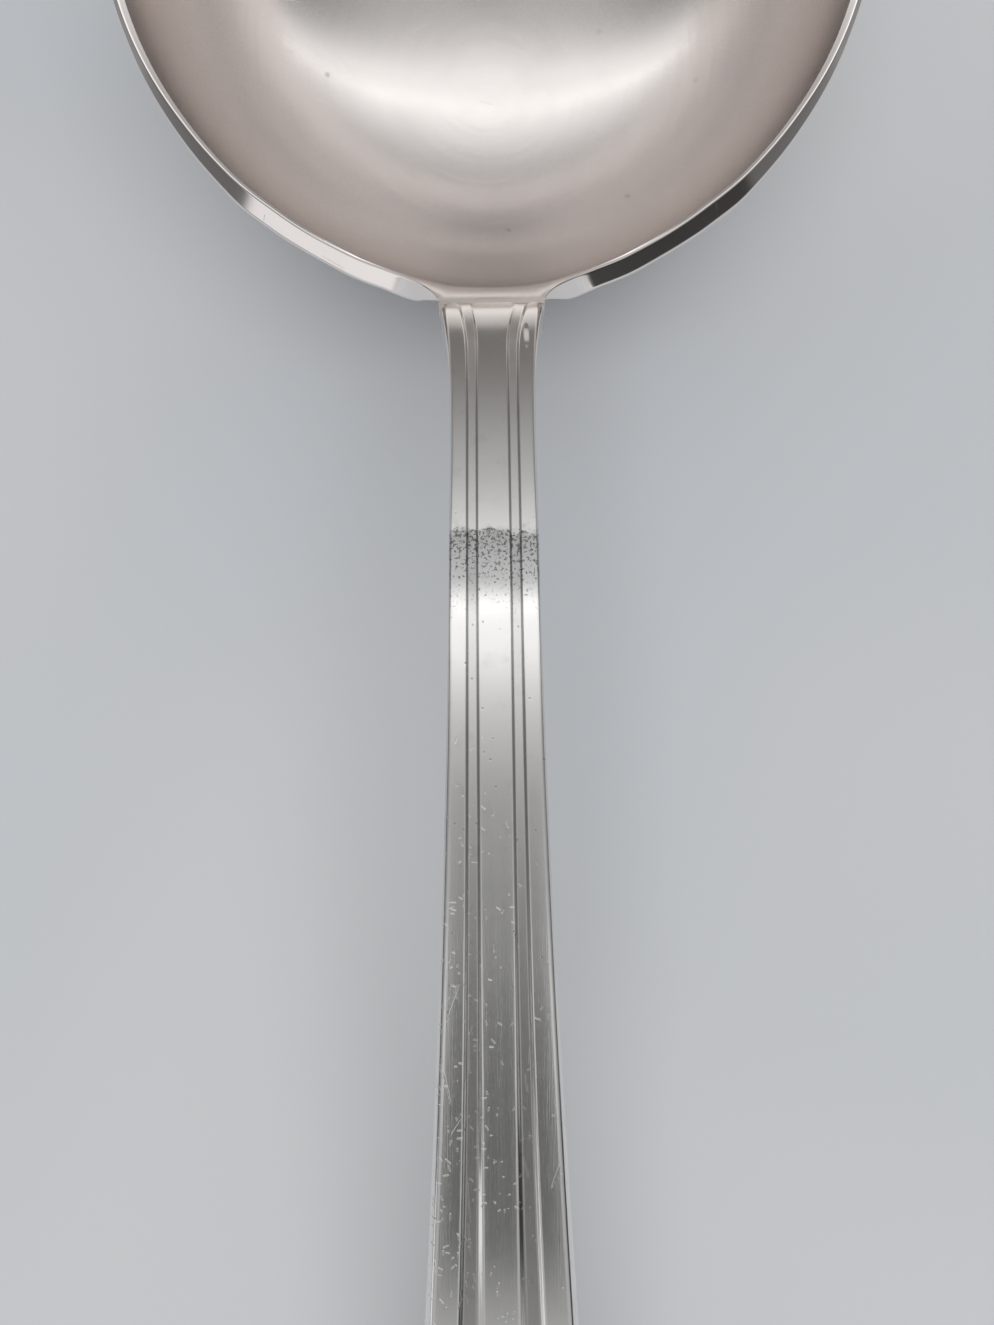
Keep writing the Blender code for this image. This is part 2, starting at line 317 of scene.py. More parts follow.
class Graph:
    """Node tree that is written as expressions."""

    def __init__(self, tree: bpy.types.NodeTree) -> None:
        """Start from an empty tree."""
        tree.nodes.clear()
        self.tree = tree

    def add(
        self,
        kind: str,
        settings: Optional[dict[str, Any]] = None,
        sockets: Optional[dict[Union[str, int], Any]] = None,
    ) -> bpy.types.Node:
        """Add a node.

        Args:
            kind: Type of the node.
            settings: Its own settings, set first; stops are the stops of a ramp.
            sockets: Values or links of its inputs.

        Returns:
            The node.
        """
        node = self.tree.nodes.new(kind)
        for name, value in (settings or {}).items():
            if name == "stops":
                self.set_stops(node.color_ramp, value)
            else:
                setattr(node, name, value)
        for name, value in (sockets or {}).items():
            if isinstance(value, Sock):
                self.tree.links.new(value.socket, node.inputs[name])
            else:
                node.inputs[name].default_value = value
        return node

    def set_stops(self, ramp: bpy.types.ColorRamp, stops: Sequence[Span]) -> None:
        """Give a ramp its grey stops.

        Args:
            ramp: The ramp.
            stops: Place and level of each stop, in order.
        """
        while len(ramp.elements) < len(stops):
            ramp.elements.new(1.0)
        for element, (place, level) in zip(ramp.elements, stops):
            element.position = place
            element.color = (level, level, level, 1.0)

    def out(self, node: bpy.types.Node, name: Union[str, int] = 0) -> Sock:
        """Output of a node."""
        return Sock(self, node.outputs[name])

    def maths(self, operation: Op, *values: Value) -> Sock:
        """Result of a Math node."""
        settings = {"operation": operation.value}
        return self.out(self.add("ShaderNodeMath", settings, dict(enumerate(values))))

    def split(self, vector: Sock) -> tuple[Sock, Sock, Sock]:
        """Three parts of a vector."""
        node = self.add("ShaderNodeSeparateXYZ", None, {0: vector})
        return self.out(node, 0), self.out(node, 1), self.out(node, 2)

    def join(self, x: Value, y: Value, z: Value) -> Sock:
        """Vector of three parts."""
        return self.out(self.add("ShaderNodeCombineXYZ", None, {0: x, 1: y, 2: z}))

    def stretch(self, vector: Sock, factors: Triple) -> Sock:
        """Vector with each part times its factor."""
        node = self.add("ShaderNodeVectorMath", {"operation": "MULTIPLY"}, {0: vector, 1: factors})
        return self.out(node)

    def attribute(self, layer: Layer) -> bpy.types.Node:
        """Node that reads a measure of the mesh."""
        return self.add("ShaderNodeAttribute", {"attribute_name": layer.value})

    def fade(self, value: Value, low: float, high: float) -> Sock:
        """Share from 0 at low to 1 at high, with soft ends.

        Args:
            value: The value.
            low: Value that gives 0.
            high: Value that gives 1.

        Returns:
            The share.
        """
        settings = {"interpolation_type": "SMOOTHSTEP"}
        sockets = {"Value": value, "From Min": low, "From Max": high}
        return self.out(self.add("ShaderNodeMapRange", settings, sockets))

    def card(self, value: Sock, centre: float, half: float, soft: float) -> Sock:
        """Share that is 1 within half of a centre and falls to 0 over a soft edge."""
        return 1.0 - self.fade(abs(value - centre), half, half + soft)

    def blend(self, share: Sock, first: Value, second: Value) -> Sock:
        """Value that passes from a first to a second one by a share."""
        return first * (1.0 - share) + second * share

    def ramp(self, angle: Sock, levels: Marks) -> Sock:
        """Level by angle.

        Args:
            angle: The angle in degrees, from -180 to 180.
            levels: Angles and levels, in order.

        Returns:
            The level.
        """
        stops = [(place / 360 + 0.5, level) for place, level in levels]
        return self.out(self.add("ShaderNodeValToRGB", {"stops": stops}, {0: angle * (1 / 360) + 0.5}))

    def noise(self, vector: Sock, scale: float, detail: float = 2.0, roughness: float = 0.5) -> Sock:
        """Noise of a vector, about one half.

        Args:
            vector: Where the noise is read.
            scale: How many times it changes over one unit.
            detail: How many finer layers it has.
            roughness: How strong the finer layers are.

        Returns:
            The noise.
        """
        sockets = {"Vector": vector, "Scale": scale, "Detail": detail, "Roughness": roughness}
        return self.out(self.add("ShaderNodeTexNoise", None, sockets), "Fac")

    def cells(self, vector: Sock, scale: float) -> Sock:
        """Distance to the middles of scattered cells."""
        node = self.add("ShaderNodeTexVoronoi", None, {"Vector": vector, "Scale": scale})
        return self.out(node, "Distance")

    def strokes(self, x: Sock, y: Sock, scale: float, half_length: float, share: Value) -> Sock:
        """Short straight strokes that lie at all angles.

        Args:
            x: First coordinate.
            y: Second coordinate.
            scale: How many cells there are along one unit; a cell holds one stroke at most.
            half_length: Half the length of the longest strokes.
            share: Share of the cells that hold a stroke.

        Returns:
            A share that is 1 on the strokes.
        """
        sockets = {"Vector": self.join(x, y, 0.0), "Scale": scale}
        node = self.add("ShaderNodeTexVoronoi", {"voronoi_dimensions": "2D"}, sockets)
        middle_x, middle_y, _ = self.split(self.out(node, "Position"))
        heading, size, draw = self.split(self.out(node, "Color"))
        angle = heading * math.pi
        cosine = self.maths(Op.COSINE, angle)
        sine = self.maths(Op.SINE, angle)
        along = (x - middle_x) * cosine + (y - middle_y) * sine
        aside = (y - middle_y) * cosine - (x - middle_x) * sine
        reach = half_length * (0.25 + 0.75 * size)
        kept = self.maths(Op.LESS_THAN, draw, share)
        lengthwise = 1.0 - self.fade(abs(along) / reach, 0.7, 1.0)
        sideways = 1.0 - self.fade(abs(aside), 0.03, 0.09)
        return kept * lengthwise * sideways

    def mix(self, share: Value, first: Any, second: Any) -> Sock:
        """Colour between two colours.

        Args:
            share: Share of the second colour.
            first: Colour at share 0, as three numbers or a socket.
            second: Colour at share 1.

        Returns:
            The colour.
        """
        sockets: dict[Union[str, int], Any] = {0: share}
        for place, colour in ((6, first), (7, second)):
            sockets[place] = colour if isinstance(colour, Sock) else (*colour, 1.0)
        return self.out(self.add("ShaderNodeMix", {"data_type": "RGBA"}, sockets), 2)

    def relief(self, height: Sock, distance: float, strength: float = 1.0) -> Sock:
        """Normal of a surface with a fine relief."""
        sockets = {"Height": height, "Distance": distance, "Strength": strength}
        return self.out(self.add("ShaderNodeBump", None, sockets))


class Finish:
    """Finish with its own node tree."""

    name = "finish"

    def material(self) -> bpy.types.Material:
        """Make the material.

        Returns:
            The material.
        """
        material = bpy.data.materials.new(self.name)
        material.use_nodes = True
        graph = Graph(material.node_tree)
        shader = self.shade(graph)
        graph.add("ShaderNodeOutputMaterial", None, {"Surface": graph.out(shader)})
        return material

    def shade(self, graph: Graph) -> bpy.types.Node:
        """Shader of the finish."""
        raise NotImplementedError


@dataclass(frozen=True)
class BowlPlate(Finish):
    """Satin silver plate, warm with age, with fine rings from polishing.

    The lay goes round the bowl in its first two parts, and up the wall in millimetres in its third.
    The zone is 0 inside the bowl and 1 outside.
    """

    name: str = "bowl_silver"
    silver: Colour = (0.945, 0.895, 0.87)
    aged: Colour = (0.78, 0.73, 0.71)
    spot: Colour = (0.40, 0.33, 0.27)
    age_share: float = 0.3
    spot_share: float = 0.5
    roughness: float = 0.13
    grain_roughness: float = 0.16
    outside_roughness: float = 0.11
    cloud_scale: float = 60.0
    spot_scale: float = 130.0
    broad_lay: Triple = (0.8, 0.8, 0.5)
    ring_lay: Triple = (1.2, 1.2, 2.0)
    fine_lay: Triple = (4.0, 4.0, 14.0)
    grain_lay: Triple = (300.0, 300.0, 60.0)
    scratch_scale: float = 0.16
    scratch_half_length: float = 2.2
    scratch_share: float = 0.35
    relief_depth: float = 0.00002
    relief_strength: float = 0.4

    def colour(self, graph: Graph, place: Sock, cloud: Sock) -> Sock:
        """Colour of the plate, with age in clouds and a few small spots of tarnish.

        Args:
            graph: Tree that takes the nodes.
            place: Place on the bowl.
            cloud: Slow noise over the bowl.

        Returns:
            The colour.
        """
        age = graph.fade(cloud, 0.45, 0.8)
        spots = 1.0 - graph.fade(graph.cells(place, self.spot_scale), 0.02, 0.09)
        tarnish = spots * graph.fade(cloud, 0.55, 0.62)
        colour = graph.mix(age * self.age_share, self.silver, self.aged)
        return graph.mix(tarnish * self.spot_share, colour, self.spot)

    def relief(self, graph: Graph, place: Sock, lay: Sock) -> Sock:
        """Normal of the plate, with the rings of polishing and scattered scratches.

        Args:
            graph: Tree that takes the nodes.
            place: Place on the bowl.
            lay: Lay of the polishing.

        Returns:
            The normal.
        """
        broad = graph.noise(graph.stretch(lay, self.broad_lay), 1.0, 1.0)
        rings = graph.noise(graph.stretch(lay, self.ring_lay), 1.0, 3.0, 0.6)
        fine = graph.noise(graph.stretch(lay, self.fine_lay), 1.0, 2.0, 0.6)
        x, y, z = graph.split(place)
        scratches = graph.strokes(
            x * (1 / MM),
            (y + z) * (1 / MM),
            self.scratch_scale,
            self.scratch_half_length,
            self.scratch_share,
        )
        height = broad * 2.5 + rings * 0.5 + fine * 0.5 - scratches * 0.6
        return graph.relief(height, self.relief_depth, self.relief_strength)

    def shade(self, graph: Graph) -> bpy.types.Node:
        """Shader of the finish.

        Args:
            graph: Tree that takes the nodes.

        Returns:
            The shader node.
        """
        lay = graph.out(graph.attribute(Layer.LAY), "Vector")
        outside = graph.out(graph.attribute(Layer.ZONE), "Fac")
        place = graph.out(graph.add("ShaderNodeTexCoord"), "Object")
        cloud = graph.noise(place, self.cloud_scale, 4.0, 0.6)
        grain = graph.noise(graph.stretch(lay, self.grain_lay), 1.0, 0.0)
        uneven = cloud - 0.5
        satin = self.roughness + self.grain_roughness * graph.fade(grain, 0.4, 0.6) + uneven * 0.08
        sockets = {
            "Base Color": self.colour(graph, place, cloud),
            "Metallic": 1.0,
            "Roughness": graph.blend(outside, satin, self.outside_roughness + uneven * 0.05),
            "Normal": self.relief(graph, place, lay),
        }
        return graph.add("ShaderNodeBsdfPrincipled", None, sockets)


@dataclass(frozen=True)
class HandlePlate(Finish):
    """Bright silver plate with the scratches, nicks and pits of use, and painted shade along the flutes
    and edges near the bowl.

    The lay goes across, along and down from the face, in millimetres. The zone is the share of the
    flute's depth. Spans are places along the handle, counted from the joint.
    """

    name: str = "handle_silver"
    silver: Colour = (0.89, 0.88, 0.87)
    # Colour of the tarnish clouds, also used for the painted shade on the flanks and edges near the bowl
    tarnish: Colour = (0.30, 0.29, 0.28)
    warm: Colour = (0.90, 0.84, 0.795)
    pit: Colour = (0.12, 0.12, 0.12)
    thin: Colour = (0.42, 0.42, 0.42)
    roughness: float = 0.12
    brush_lay: Triple = (9.0, 0.25, 9.0)
    cloud_scale: float = 0.35
    speck_scale: float = 2.8
    warm_span: Span = (3.0, 24.0)
    lower_span: Span = (55.0, 85.0)
    painted_shade_start: Span = (5.0, 16.0)
    worn_start: Span = (29.9, 30.5)
    worn_end: Span = (36.0, 41.0)
    thin_start: Span = (29.5, 31.0)
    thin_end: Span = (35.5, 39.5)
    worn_unevenness: float = 4.0
    dot_scale: float = 0.7
    dot_middle: float = 52.0
    dot_half: float = 18.0
    dot_soft: float = 12.0
    nick_span: Span = (40.0, 95.0)
    nick_scale: float = 1.3
    nick_half_length: float = 0.42
    line_scale: float = 0.5
    line_half_length: float = 1.2
    line_stretch: float = 0.3
    dent_across: float = 4.15
    dent_along: float = 5.6
    dent_half_width: float = 0.42
    dent_half_length: float = 1.9
    dent_relief: float = 7.0
    relief_depth: float = 0.00004
    relief_strength: float = 0.5

    def worn_band(self, graph: Graph, lay: Sock, along: Sock, cloud: Sock) -> tuple[Sock, Sock]:
        """Band across the handle where the plate is thin and pitted.

        Args:
            graph: Tree that takes the nodes.
            lay: Lay of the handle.
            along: Its part along the handle.
            cloud: Slow noise over the handle.

        Returns:
            The share of thin plate, and the share of pits.
        """
        uneven = along + (cloud - 0.5) * self.worn_unevenness
        thinned = graph.fade(uneven, *self.thin_start) * (1.0 - graph.fade(along, *self.thin_end))
        worn = graph.fade(uneven, *self.worn_start) * (1.0 - graph.fade(along, *self.worn_end))
        speck = graph.noise(lay, self.speck_scale, 3.0, 0.7)
        return thinned, worn * graph.fade(speck - 0.016 * along, 0.02, 0.08)

    def painted_shade_and_dark_floors(self, graph: Graph, along: Sock, down: Sock, depth: Sock) -> Sock:
        """Painted shade on the flutes' flanks and painted dark reflection on the edges near the bowl, and
        darker flute floors farther down.

        Args:
            graph: Tree that takes the nodes.
            along: Distance from the joint.
            down: Depth under the face.
            depth: Share of the flute's depth.

        Returns:
            The share of painted shade and darker floor.
        """
        lower = graph.fade(along, *self.lower_span)
        flank = graph.card(depth, 0.5, 0.25, 0.25)
        edge = graph.fade(down - 0.35 * depth, 0.08, 0.3)
        # Painted shade on the flanks and painted dark reflection on the edges, near the bowl only
        near = (flank * 0.55 + edge * 0.4) * (1.0 - lower) * graph.fade(along, *self.painted_shade_start)
        # The flute floors are darker, more so farther down
        return near + self.floor(graph, depth) * (0.12 + 0.45 * lower)

    def floor(self, graph: Graph, depth: Sock) -> Sock:
        """Share that is 1 on the floors of the flutes."""
        return graph.fade(depth, 0.6, 0.95)

    def scratches(self, graph: Graph, across: Sock, along: Sock, cloud: Sock) -> Sock:
        """Depth of the nicks and long scratches.

        Args:
            graph: Tree that takes the nodes.
            across: Distance from the middle of the handle.
            along: Distance from the joint.
            cloud: Slow noise over the handle.

        Returns:
            The depth.
        """
        crowd = graph.fade(cloud - 0.012 * across, 0.49, 0.6) * graph.fade(along, *self.nick_span)
        nicks = graph.strokes(across, along, self.nick_scale, self.nick_half_length, crowd * 0.7)
        lines = graph.strokes(
            across,
            along * self.line_stretch,
            self.line_scale,
            self.line_half_length,
            0.3 * graph.fade(along, *self.lower_span),
        )
        return nicks + lines * 0.3

    def dent(self, graph: Graph, across: Sock, along: Sock) -> Sock:
        """Height of the small dent beside the joint.

        Args:
            graph: Tree that takes the nodes.
            across: Distance from the middle of the handle.
            along: Distance from the joint.

        Returns:
            The height.
        """
        aside = (across - self.dent_across) / self.dent_half_width
        ahead = (along - self.dent_along) / self.dent_half_length
        hollow = 1.0 - graph.fade(aside * aside + ahead * ahead, 0.0, 1.0)
        return hollow * ahead * self.dent_relief

    def shade(self, graph: Graph) -> bpy.types.Node:
        """Shader of the finish.

        Args:
            graph: Tree that takes the nodes.

        Returns:
            The shader node.
        """
        lay = graph.out(graph.attribute(Layer.LAY), "Vector")
        depth = graph.out(graph.attribute(Layer.ZONE), "Fac")
        across, along, down = graph.split(lay)
        brushed = graph.noise(graph.stretch(lay, self.brush_lay), 1.0, 3.0, 0.6)
        cloud = graph.noise(lay, self.cloud_scale, 4.0, 0.6)
        thinned, pits = self.worn_band(graph, lay, along, cloud)
        dots = 1.0 - graph.fade(graph.cells(lay, self.dot_scale), 0.04, 0.12)
        dots = dots * graph.card(along, self.dot_middle, self.dot_half, self.dot_soft)
        # Tarnish in clouds, plus the painted shade on the flanks and edges near the bowl and the darker
        # flute floors
        stain_and_painted_shade = graph.fade(cloud, 0.5, 0.9) * 0.2 + self.painted_shade_and_dark_floors(graph, along, down, depth)
        colour = graph.mix(1.0 - graph.fade(along, *self.warm_span), self.silver, self.warm)
        colour = graph.mix(stain_and_painted_shade, colour, self.tarnish)
        colour = graph.mix(thinned * 0.85, colour, self.thin)
        colour = graph.mix(pits * 0.75 + dots * 0.4, colour, self.pit)
        rough = self.roughness + (cloud - 0.5) * 0.08 + (brushed - 0.5) * 0.06
        rough = rough + pits * 0.2 + thinned * 0.06 + self.floor(graph, depth) * 0.1
        height = brushed * 0.25 - self.scratches(graph, across, along, cloud)
        height = height - pits * 0.8 - dots * 0.4 + self.dent(graph, across, along)
        sockets = {
            "Base Color": colour,
            "Metallic": 1.0,
            "Roughness": rough,
            "Normal": graph.relief(height, self.relief_depth, self.relief_strength),
        }
        return graph.add("ShaderNodeBsdfPrincipled", None, sockets)


@dataclass(frozen=True)
class SeamPlate(Finish):
    """Brazed seam, plated over with the rest."""

    name: str = "seam_silver"
    silver: Colour = (0.83, 0.78, 0.75)
    aged: Colour = (0.8, 0.75, 0.72)
    roughness: float = 0.35
    grain_scale: float = 3000.0
    relief_depth: float = 0.000002

    def shade(self, graph: Graph) -> bpy.types.Node:
        """Shader of the finish.

        Args:
            graph: Tree that takes the nodes.

        Returns:
            The shader node.
        """
        place = graph.out(graph.add("ShaderNodeTexCoord"), "Object")
        grain = graph.noise(place, self.grain_scale, 3.0, 0.6)
        sockets = {
            "Base Color": graph.mix(grain, self.silver, self.aged),
            "Metallic": 1.0,
            "Roughness": self.roughness + (grain - 0.5) * 0.1,
            "Normal": graph.relief(grain, self.relief_depth, 0.5),
        }
        return graph.add("ShaderNodeBsdfPrincipled", None, sockets)


@dataclass(frozen=True)
class TableTop(Finish):
    """Pale matt table top."""

    name: str = "table_top"
    pale: Colour = (0.52, 0.53, 0.545)
    cool: Colour = (0.485, 0.505, 0.53)
    patch_scale: float = 9.0
    roughness: float = 0.7
    gloss: float = 0.2

    def shade(self, graph: Graph) -> bpy.types.Node:
        """Shader of the finish.

        Args:
            graph: Tree that takes the nodes.

        Returns:
            The shader node.
        """
        place = graph.out(graph.add("ShaderNodeTexCoord"), "Object")
        patch = graph.fade(graph.noise(place, self.patch_scale, 1.0), 0.35, 0.65)
        sockets = {
            "Base Color": graph.mix(patch, self.pale, self.cool),
            "Roughness": self.roughness,
            "Specular IOR Level": self.gloss,
        }
        return graph.add("ShaderNodeBsdfPrincipled", None, sockets)


@dataclass
class Bowl:
    """Pressed bowl with the ear that is drawn out of its rim to meet the handle.

    Turns are counted from the handle, and rises from the bottom up to the rim. Marks give a measure in
    millimetres by the turn in degrees, and for the steepness the chamfer's fall for each step outward.
    The chamfer's line runs outward and down, in shares of the chamfer.
    """

    radius: float = 0.0476
    depth: float = 0.0425
    fullness: float = 2.2
    wall: float = 0.00143
    ear_reach: float = 0.0045
    ear_rise: float = 0.0013
    ear_slope: float = math.radians(42)
    ear_spread: float = math.radians(30)
    ear_bend_depth: float = 0.009
    ear_bend_pull: float = 0.003
    ear_fan: float = 0.3
    shoulder_rim_pull: float = 0.01
    shoulder_joint_pull: float = 0.005
    joint_width: float = 0.0131
    joint_taper: float = 0.52
    joint_turn: float = math.radians(16 / 3)
    bevel_slope: float = 0.4
    lip_run: float = 0.005
    lowest_rise: float = 0.02
    bevel_marks: Marks = (
        (0, 0.03), (6, 0.03), (14, 0.06), (30, 0.3), (45, 0.42), (75, 0.8),
        (180, 0.8),
    )
    chamfer_marks: Marks = (
        (0, 0.05), (5.4, 0.08), (7, 0.4), (9.5, 0.9), (13, 1.5), (18, 1.92),
        (23, 1.92), (28, 1.8), (33, 1.86), (38, 1.86), (43, 1.62), (49, 1.44),
        (56, 1.18), (63, 0.9), (70, 0.66), (180, 0.62),
    )
    steep_marks: Marks = (
        (0, 1.7), (13, 1.6), (18, 0.84), (180, 0.84),
    )
    swell_marks: Marks = (
        (0, 0.0), (10, 0.0), (14, 0.22), (18, 0.52), (23, 0.9), (27, 0.86),
        (31, 0.64), (35, 0.44), (41, 0.36), (46, 0.2), (56, 0.0), (180, 0.0),
    )
    shoulder_turn: float = math.radians(46)
    chamfer_line: Marks = (
        (0.05, 0.01), (0.12, 0.07), (0.2, 0.156), (0.5, 0.48), (0.88, 0.89), (0.95, 0.966),
        (0.985, 1.03), (1.0, 1.1),
    )
    ear_columns: int = 92
    back_columns: int = 72
    inside_rows: int = 60
    bend_rows: int = 26
    bevel_rows: int = 3

    @property
    def joint_at(self) -> float:
        """Distance of the joint from the bowl's axis."""
        return self.radius + self.ear_reach

    @property
    def bend_start(self) -> float:
        """Rise at which the ear starts to leave the plain bowl."""
        return math.acos(self.ear_bend_depth / self.depth)

    def plain(self, turn: Array, rise: Array) -> Array:
        """Points of the plain bowl, which is fuller than a round one.

        Args:
            turn: Turns, counted from the handle.
            rise: Rises, from the bottom up to the rim.

        Returns:
            The points.
        """
        drop = np.maximum(0, np.cos(rise))
        across = self.radius * (1 - drop**self.fullness) ** (1 / self.fullness)
        return np.stack((across * np.sin(turn), -across * np.cos(turn), -self.depth * drop), axis=-1)

    def joint_direction(self, spread: Array) -> Array:
        """Directions in which the ear's face crosses the joint, spread sideways by shares of its run."""
        flat = math.cos(self.ear_slope) * np.ones_like(spread)
        return unit(np.stack((spread * flat, -flat, math.tan(self.ear_slope) * flat), axis=-1))

    def shoulder_edge(self, share: Array) -> Array:
        """Points on the right edge of the ear, from the rim at share 0 to the joint at share 1.

        Args:
            share: Shares of the edge.

        Returns:
            The points.
        """
        rim = self.plain(np.array(self.ear_spread), np.array(RIM_RISE))
        rim_run = np.array((-math.cos(self.ear_spread), -math.sin(self.ear_spread), 0))
        joint = np.array((self.joint_width / 2, -self.joint_at, self.ear_rise))
        joint_run = self.joint_direction(np.array(-self.joint_taper / 2))
        first = rim + self.shoulder_rim_pull * rim_run
        last = joint - self.shoulder_joint_pull * joint_run
        share = share[..., None]
        rest = 1 - share
        return rest**3 * rim + 3 * rest**2 * share * first + 3 * rest * share**2 * last + share**3 * joint

    def ear_edge(self, turn: Array) -> Arrays:
        """Edge of the ear for columns of the bowl.

        Args:
            turn: Turns of the columns.

        Returns:
            Points of the edge, and the directions in which the columns leave it.
        """
        side = np.where(turn < 0, -1.0, 1.0)
        across = np.clip(turn / self.joint_turn, -1, 1)
        half = self.joint_width / 2
        flat = np.ones_like(turn)
        middle = np.stack((half * across, -self.joint_at * flat, self.ear_rise * flat), axis=-1)
        middle_leave = self.joint_direction(self.ear_fan * across)
        share = np.clip((self.ear_spread - np.abs(turn)) / (self.ear_spread - self.joint_turn), 0, 1)
        edge = self.shoulder_edge(share)
        upward = np.array((0.0, 0.0, 1.0))
        fanned = self.joint_direction(np.array(self.ear_fan))
        leave = unit(upward + (fanned - upward) * share[..., None])
        edge[..., 0] *= side
        leave[..., 0] *= side
        inner = (np.abs(turn) <= self.joint_turn)[..., None]
        return np.where(inner, middle, edge), np.where(inner, middle_leave, leave)

    def sheet(self, turn: Array, rise: Array) -> Array:
        """Points of the finished bowl, with the ear drawn out of its rim.

        Args:
            turn: Turns, counted from the handle.
            rise: Rises, from the bottom up to the rim.

        Returns:
            The points.
        """
        plain = self.plain(turn, rise)
        bend = np.maximum(0, (rise - self.bend_start) / (RIM_RISE - self.bend_start))
        bend = np.where(np.abs(turn) < self.ear_spread, bend, 0)[..., None]
        edge, leave = self.ear_edge(turn)
        rim = self.plain(turn, np.full_like(turn, RIM_RISE))
        rim_pull = self.depth * (RIM_RISE - self.bend_start) / 3
        blend = np.minimum(1, np.abs(turn) / self.ear_spread)[..., None]
        pull = self.ear_bend_pull + (rim_pull - self.ear_bend_pull) * blend
        shift_edge = edge - rim
        shift_pull = shift_edge - pull * leave + np.array((0, 0, rim_pull))
        swell = profile(np.degrees(np.abs(turn)), self.swell_marks) * MM
        swell = swell * smooth(rise, self.bend_start, RIM_RISE)
        aside = np.stack((np.sin(turn), -np.cos(turn), np.zeros_like(turn)), axis=-1)
        ear = 3 * bend**2 * (1 - bend) * shift_pull + bend**3 * shift_edge
        return plain + ear + swell[..., None] * aside

    def outward(self, turn: Array, rise: Array) -> Array:
        """Directions square to the bowl's sheet, pointing out of the bowl.

        Args:
            turn: Turns, counted from the handle.
            rise: Rises, from the bottom up to the rim.

        Returns:
            The directions.
        """
        low = np.minimum(rise, RIM_RISE - ANGLE_STEP)
        across = self.sheet(turn + ANGLE_STEP, rise) - self.sheet(turn - ANGLE_STEP, rise)
        up = self.sheet(turn, low + ANGLE_STEP) - self.sheet(turn, low)
        return unit(np.cross(across, up))

    def behind(self, turn: Array, rise: Array, depth: Array) -> Array:
        """Points at depths behind the inside of the bowl."""
        return self.sheet(turn, rise) + np.asarray(depth)[..., None] * self.outward(turn, rise)

    def columns(self) -> Array:
        """Turns of the columns, closer together across the ear.

        Returns:
            The turns, once round the bowl.
        """
        ear = self.shoulder_turn * np.linspace(-1, 1, 2 * self.ear_columns + 1)
        back = np.linspace(self.shoulder_turn, 2 * math.pi - self.shoulder_turn, 2 * self.back_columns + 1)
        turns = np.concatenate((ear, back[1:-1]))
        return np.where(turns > math.pi, turns - 2 * math.pi, turns)

    def inside(self, turn: Array) -> Arrays:
        """Rows of the bowl's inside, from the bottom up to the inner edge of the rim.

        Args:
            turn: Turns of the columns.

        Returns:
            The points by row and column, and their rises.
        """
        bevel = profile(np.degrees(np.abs(turn)), self.bevel_marks) * MM
        edge = RIM_RISE - bevel * self.bevel_slope / self.depth
        lower = np.linspace(self.lowest_rise, self.bend_start, self.inside_rows)[:, None]
        share = np.linspace(0, 1, self.bend_rows + 1)[1:, None]
        upper = self.bend_start + (edge - self.bend_start) * share
        rise = np.concatenate((lower * np.ones_like(turn), upper))
        turns = np.broadcast_to(turn, rise.shape)
        return self.sheet(turns, rise), rise

    def rim_aside(self, turn: Array) -> Array:
        """Level directions that point straight away from the rim's edge.

        Args:
            turn: Turns of the columns.

        Returns:
            The directions.
        """
        rise = np.full_like(turn, RIM_RISE)
        run = self.sheet(turn + ANGLE_STEP, rise) - self.sheet(turn - ANGLE_STEP, rise)
        return unit(np.stack((run[..., 1], -run[..., 0], np.zeros_like(turn)), axis=-1))

    def lip(self, turn: Array) -> Array:
        """Rows over the rim, from its inner bevel to the foot of its outer chamfer.

        Args:
            turn: Turns of the columns.

        Returns:
            The points by row and column.
        """
        degrees = np.degrees(np.abs(turn))
        bevel = profile(degrees, self.bevel_marks) * MM
        chamfer = (profile(degrees, self.chamfer_marks) * MM)[:, None]
        rows = []
        for row in range(1, self.bevel_rows + 1):
            share = row / self.bevel_rows
            rise = RIM_RISE - bevel * self.bevel_slope * (1 - share) / self.depth
            rows.append(self.behind(turn, rise, bevel * share))
        aside = self.rim_aside(turn)
        down = profile(degrees, self.steep_marks)[:, None] * np.array((0.0, 0.0, -1.0))
        crest = rows[-1]
        rows += [crest + chamfer * (out * aside + fall * down) for out, fall in self.chamfer_line]
        return np.stack(rows)

    def outside(self, turn: Array) -> Arrays:
        """Rows over the rim and down the bowl's outside.

        Args:
            turn: Turns of the columns.

        Returns:
            The points by row and column, and their rises.
        """
        lip = self.lip(turn)
        degrees = np.degrees(np.abs(turn))
        start = profile(degrees, self.chamfer_marks) * profile(degrees, self.steep_marks) * MM
        low = self.depth * (RIM_RISE - self.bend_start)
        share = np.linspace(0, 1, self.bend_rows + 1)[:, None]
        drop = start + (low - start) * share
        lower = np.linspace(self.bend_start, self.lowest_rise, self.inside_rows)[1:, None]
        rise = np.concatenate((RIM_RISE - drop / self.depth, lower * np.ones_like(turn)))
        wall = self.behind(np.broadcast_to(turn, rise.shape), rise, np.full(rise.shape, self.wall))
        fade = np.zeros(rise.shape)
        fade[: len(drop)] = 1 - smooth((drop - start) / self.lip_run, 0.0, 1.0)
        wall = wall + fade[..., None] * (lip[-1] - wall[0])
        points = np.concatenate((lip, wall[1:]))
        rises = np.concatenate((np.full(lip.shape[:2], RIM_RISE), rise[1:]))
        return points, rises

    def build(self) -> bpy.types.Object:
        """Make the bowl.

        Returns:
            The piece, with its finish.
        """
        turn = self.columns()
        inner, inner_rise = self.inside(turn)
        outer, outer_rise = self.outside(turn)
        rise = np.concatenate((inner_rise, outer_rise))
        turns = np.broadcast_to(turn, rise.shape)
        lay = np.stack((np.sin(turns), np.cos(turns), rise * self.radius / MM), axis=-1)
        zone = np.repeat((0.0, 1.0), (len(inner), len(outer)))[:, None] * np.ones_like(turn)
        bottom = np.array(((0.0, 0.0, -self.depth), (0.0, 0.0, -self.depth - self.wall)))
        piece = weave("ladle_bowl", np.concatenate((inner, outer)), lay, zone, bottom)
        piece.data.materials.append(BowlPlate().material())
        return piece


